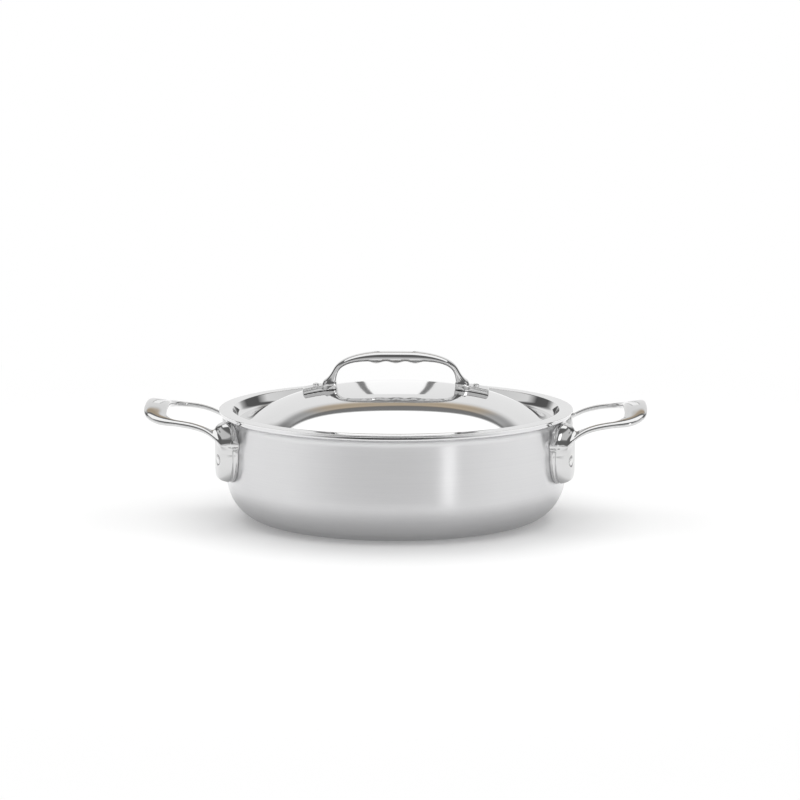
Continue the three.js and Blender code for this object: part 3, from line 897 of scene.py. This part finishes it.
# Stage
def stage(name, points, faces, material):
    """A piece of the studio, which isn't part of the object."""
    mesh = bpy.data.meshes.new(name)
    mesh.from_pydata(points, [], faces)
    made = bpy.data.objects.new(name, mesh)
    bpy.context.scene.collection.objects.link(made)
    made.data.materials.append(material)
    return made


def plain_material(name):
    """A new material with an empty tree, and a place in its object."""
    material = bpy.data.materials.new(name)
    material.use_nodes = True
    tree = material.node_tree
    tree.nodes.clear()
    return material, tree, tree.nodes.new("ShaderNodeTexCoord").outputs["Object"]


# Floor, in metres: pale paint near the object, where it takes the shadow, and white further out
FLOOR_HALF = 20
FLOOR_HEIGHT = -0.0003
FLOOR_PAINT = (0.9, 0.9, 0.9, 1)
FLOOR_FILL = 0.14
LIT_REACH = (0.35, 0.85)


def add_floor():
    material, tree, place = plain_material("floor_white")
    paint = node(tree, "ShaderNodeBsdfDiffuse", Color=FLOOR_PAINT).outputs[0]
    fill = node(tree, "ShaderNodeEmission", Strength=FLOOR_FILL).outputs[0]
    near = node(tree, "ShaderNodeAddShader", _0=paint, _1=fill).outputs[0]
    far = node(tree, "ShaderNodeEmission", Strength=1.0).outputs[0]
    away = span(tree, length_of(tree, place), *LIT_REACH)
    shown = node(tree, "ShaderNodeMixShader", _0=away, _1=near, _2=far).outputs[0]
    path = tree.nodes.new("ShaderNodeLightPath").outputs
    seen = plus(tree, path["Is Camera Ray"], path["Is Glossy Ray"])
    seen = plus(tree, seen, path["Is Transmission Ray"])
    mixed = node(tree, "ShaderNodeMixShader", _0=seen, _1=paint, _2=shown).outputs[0]
    node(tree, "ShaderNodeOutputMaterial", Surface=mixed)
    corners = [(-1, -1), (1, -1), (1, 1), (-1, 1)]
    points = [(x * FLOOR_HALF, y * FLOOR_HALF, FLOOR_HEIGHT) for x, y in corners]
    stage("floor", points, [(0, 1, 2, 3)], material)


# Dark cards that only the steel sees, as studios use to draw its edges, in metres
def add_dark_card(name, points, faces, tone, cover):
    """A card of one tone that hides what is behind it by a cover, from 0 to 1, made from x and y."""
    material, tree, place = plain_material(name)
    dark = node(tree, "ShaderNodeEmission", Strength=tone).outputs[0]
    clear = tree.nodes.new("ShaderNodeBsdfTransparent").outputs[0]
    x, y, _ = node(tree, "ShaderNodeSeparateXYZ", Vector=place).outputs
    faded = node(tree, "ShaderNodeMixShader", _0=cover(tree, x, y), _1=clear, _2=dark).outputs[0]
    node(tree, "ShaderNodeOutputMaterial", Surface=faded)
    card = stage(name, points, faces, material)
    card.visible_camera = False
    card.visible_diffuse = False
    card.visible_shadow = False


def ring_strip(turns, low, high):
    """Points and faces between two (radius, height) rings, over turns from the front to the right."""
    points = []
    for turn in turns:
        points += [(r * math.sin(turn), -r * math.cos(turn), z) for r, z in (low, high)]
    return points, [(i, i + 2, i + 3, i + 1) for i in range(0, len(points) - 2, 2)]


# A low card standing round the front
CARD_RADIUS = 0.4
CARD_HEIGHT = 0.042
CARD_TONE = 0.06
CARD_STEPS = 61
CARD_ENDS = (math.radians(-66), math.radians(75))
CARD_FULL = (math.radians(-16), math.radians(7))


def card_cover(tree, x, y):
    turn = calc(tree, "ARCTAN2", x, times(tree, y, -1.0))
    return window(tree, turn, (CARD_ENDS[0], CARD_FULL[0]), (CARD_FULL[1], CARD_ENDS[1]))


# A dark ring of painted shade on the floor round the base, seen only by the steel, which deepens the floor's
# shadow in its reflection
PAINTED_SHADE_HEIGHT = 0.0001
PAINTED_SHADE_INNER = 0.1
PAINTED_SHADE_FULL = 0.115
PAINTED_SHADE_OUTER = 0.18
PAINTED_SHADE_TONE = 0.2
PAINTED_SHADE_COVER = 0.5
PAINTED_SHADE_STEPS = 65


# How strongly the painted shade darkens the floor: full near the base, fading outward
def painted_shade_cover(tree, x, y):
    square = plus(tree, times(tree, x, x), times(tree, y, y))
    outward = span(tree, calc(tree, "SQRT", square), PAINTED_SHADE_FULL, PAINTED_SHADE_OUTER)
    return times(tree, rest_of(tree, outward), PAINTED_SHADE_COVER)


def add_cards():
    turns = np.linspace(*CARD_ENDS, CARD_STEPS)
    points, faces = ring_strip(turns, (CARD_RADIUS, 0.0), (CARD_RADIUS, CARD_HEIGHT))
    add_dark_card("front_card", points, faces, CARD_TONE, card_cover)
    # The ring round the base is painted shade, a dark sheet where the floor is only in shadow
    turns = np.linspace(0, 2 * math.pi, PAINTED_SHADE_STEPS)
    points, faces = ring_strip(turns, (PAINTED_SHADE_OUTER, PAINTED_SHADE_HEIGHT), (PAINTED_SHADE_INNER, PAINTED_SHADE_HEIGHT))
    add_dark_card("painted_shade_ring", points, faces, PAINTED_SHADE_TONE, painted_shade_cover)


# Studio, drawn by direction: x, y and z are the parts of a unit vector, so z is 0 at the horizon
ROOM_TONES = [(0.0, 0.66), (0.5, 0.70), (0.92, 0.86)]
CORNER_TONES = [(0.70, 0.0), (0.78, 1.0), (0.88, 1.0), (0.92, 0.6), (0.95, 0.0)]
CORNER_HEIGHTS = ((0.05, 0.14), (0.55, 0.75))
CORNER_DIM = 0.88
CEILING_TONES = [
    (0.40, 1.0), (0.435, 0.82), (0.465, 0.50), (0.49, 0.42), (0.533, 0.50), (0.55, 0.22), (0.60, 0.24),
    (1.0, 0.2),
]
CEILING_DIP = 0.25
CEILING_BEND = 0.04
CEILING_LIFT = 0.006
WARM_TINT = (1.2, 1.0, 0.76, 1)
WARM_HEIGHTS = ((0.42, 0.48), (0.53, 0.57))
WARM_AROUND = (0.97, 0.995)
PANEL_SHIFT = 0.0262
PANEL_TAPER = (-1.2, 1.35)
PANEL_TOP = (0.29, 0.30)
PANEL_EDGE = (0.0233, 0.0248)
PANEL_LIGHT = 1.05
PANEL_FRAME = (0.0300, 0.0315)
PANEL_FRAME_DIM = 0.75
SOFTBOX_SIDES = ((-0.72, -0.68), (0.60, 0.64))
SOFTBOX_FRONT = (0.08, 0.12)
SOFTBOX_BOTTOM = (0.64, 0.665)
SOFTBOX_LIGHT = 1.35
STRIP_SIDES = ((0.62, 0.68), (0.85, 0.91))
STRIP_TOP = (0.62, 0.7)
STRIP_LIGHT = 2.1
IN_FRONT = (0.05, 0.15)
LEAST_AHEAD = 0.02
LEAST_LEVEL = 0.001


def front_to_back(tree, x, y):
    """From 0 in front, where the camera stands, over 0.5 at the sides to 1 behind the object."""
    level = calc(tree, "SQRT", plus(tree, times(tree, x, x), times(tree, y, y)))
    facing = calc(tree, "DIVIDE", y, calc(tree, "MAXIMUM", level, LEAST_LEVEL))
    return calc(tree, "MULTIPLY_ADD", facing, 0.5, 0.5)


def ceiling_height(tree, x, z):
    """Height in the room, less to the sides, so that the edge of the ceiling bows."""
    beside = calc(tree, "SQRT", calc(tree, "MULTIPLY_ADD", x, x, CEILING_BEND ** 2))
    return calc(tree, "SUBTRACT", plus(tree, z, CEILING_LIFT), times(tree, beside, CEILING_DIP))


def room_tone(tree, around, height, z):
    """A pale room with a dark corner to each side behind the object, and a dim ceiling."""
    tone = ramp(tree, around, ROOM_TONES)
    corners = times(tree, ramp(tree, around, CORNER_TONES), window(tree, z, *CORNER_HEIGHTS))
    tone = dimmed(tree, tone, corners, CORNER_DIM)
    return times(tree, tone, ramp(tree, height, CEILING_TONES))


def room_tint(tree, around, height):
    """A warm edge of the ceiling at the back."""
    warm = times(tree, window(tree, height, *WARM_HEIGHTS), span(tree, around, *WARM_AROUND))
    return node(tree, "ShaderNodeMixRGB", Fac=warm, Color1=(1, 1, 1, 1), Color2=WARM_TINT).outputs[0]


def panel_masks(tree, x, y, z):
    """An upright panel low down at the back, and the panel with its frame."""
    beside = calc(tree, "DIVIDE", x, calc(tree, "MAXIMUM", y, LEAST_AHEAD))
    beside = times(tree, plus(tree, beside, PANEL_SHIFT), calc(tree, "MULTIPLY_ADD", z, *PANEL_TAPER))
    low = rest_of(tree, span(tree, z, *PANEL_TOP))
    masks = []
    for inner, outer in (PANEL_EDGE, PANEL_FRAME):
        masks.append(times(tree, low, window(tree, beside, (-outer, -inner), (inner, outer))))
    return masks


def softbox_mask(tree, x, y, z):
    """A wide light overhead, from above the object to the back."""
    over = calc(tree, "MAXIMUM", z, LEAST_AHEAD)
    across, along = calc(tree, "DIVIDE", x, over), calc(tree, "DIVIDE", y, over)
    mask = times(tree, window(tree, across, *SOFTBOX_SIDES), span(tree, along, *SOFTBOX_FRONT))
    return times(tree, mask, span(tree, z, *SOFTBOX_BOTTOM))


def strip_mask(tree, x, y, z):
    """An upright strip of light in front and to the right."""
    ahead = calc(tree, "MAXIMUM", times(tree, y, -1.0), LEAST_AHEAD)
    mask = window(tree, calc(tree, "DIVIDE", x, ahead), *STRIP_SIDES)
    mask = times(tree, mask, span(tree, ahead, *IN_FRONT))
    return times(tree, mask, rest_of(tree, span(tree, z, *STRIP_TOP)))


def add_studio():
    world = bpy.data.worlds.new("studio")
    bpy.context.scene.world = world
    world.use_nodes = True
    tree = world.node_tree
    tree.nodes.clear()
    direction = tree.nodes.new("ShaderNodeTexCoord").outputs["Generated"]
    x, y, z = node(tree, "ShaderNodeSeparateXYZ", Vector=direction).outputs
    around = front_to_back(tree, x, y)
    height = ceiling_height(tree, x, z)
    panel, panel_and_frame = panel_masks(tree, x, y, z)
    tone = dimmed(tree, room_tone(tree, around, height, z), panel_and_frame, PANEL_FRAME_DIM)
    lights = times(tree, softbox_mask(tree, x, y, z), SOFTBOX_LIGHT)
    lights = plus(tree, lights, times(tree, strip_mask(tree, x, y, z), STRIP_LIGHT))
    lights = plus(tree, lights, times(tree, panel, PANEL_LIGHT))
    tint = room_tint(tree, around, height)
    room = node(tree, "ShaderNodeBackground", Color=tint, Strength=tone).outputs[0]
    lamps = node(tree, "ShaderNodeBackground", Strength=lights).outputs[0]
    both = node(tree, "ShaderNodeAddShader", _0=room, _1=lamps).outputs[0]
    node(tree, "ShaderNodeOutputWorld", Surface=both)


# Overhead light for the floor and its soft shadow, in metres and watts
OVERHEAD_WIDTH = 2.2
OVERHEAD_HEIGHT = 1.5
OVERHEAD_POWER = 17.5


def add_overhead():
    lamp = bpy.data.objects.new("overhead", bpy.data.lights.new("overhead", "AREA"))
    bpy.context.scene.collection.objects.link(lamp)
    lamp.data.size = OVERHEAD_WIDTH
    lamp.data.energy = OVERHEAD_POWER
    lamp.location = (0, 0, OVERHEAD_HEIGHT)
    lamp.visible_glossy = False


# Camera, fitted to the rim, lip and base in the photograph, in metres and pixels
CAMERA_DISTANCE = 2.5
CAMERA_RISE = math.radians(9.82)
CAMERA_TURN = math.radians(1.5)
CAMERA_REACH = 100
FOCAL_PIXELS = 3452
IMAGE_PIXELS = 800
SENSOR_WIDTH = 36
TARGET = Vector((0, 0, 0.035))
TARGET_PIXEL = (396, 468)


def add_camera():
    sight = Euler((math.pi / 2 - CAMERA_RISE, 0, CAMERA_TURN)).to_matrix()
    across, upward, backward = sight.col
    eye = TARGET + CAMERA_DISTANCE * backward
    metres_per_pixel = CAMERA_DISTANCE / FOCAL_PIXELS
    aim = TARGET + (IMAGE_PIXELS / 2 - TARGET_PIXEL[0]) * metres_per_pixel * across
    aim += (TARGET_PIXEL[1] - IMAGE_PIXELS / 2) * metres_per_pixel * upward
    camera = bpy.data.objects.new("camera", bpy.data.cameras.new("camera"))
    bpy.context.scene.collection.objects.link(camera)
    camera.data.sensor_width = SENSOR_WIDTH
    camera.data.lens = SENSOR_WIDTH * FOCAL_PIXELS / IMAGE_PIXELS
    camera.data.clip_end = CAMERA_REACH
    camera.location = eye
    camera.rotation_euler = (aim - eye).to_track_quat("-Z", "Y").to_euler()
    bpy.context.scene.camera = camera


add_floor()
add_cards()
add_studio()
add_overhead()
add_camera()
bpy.context.scene.view_settings.view_transform = "Standard"
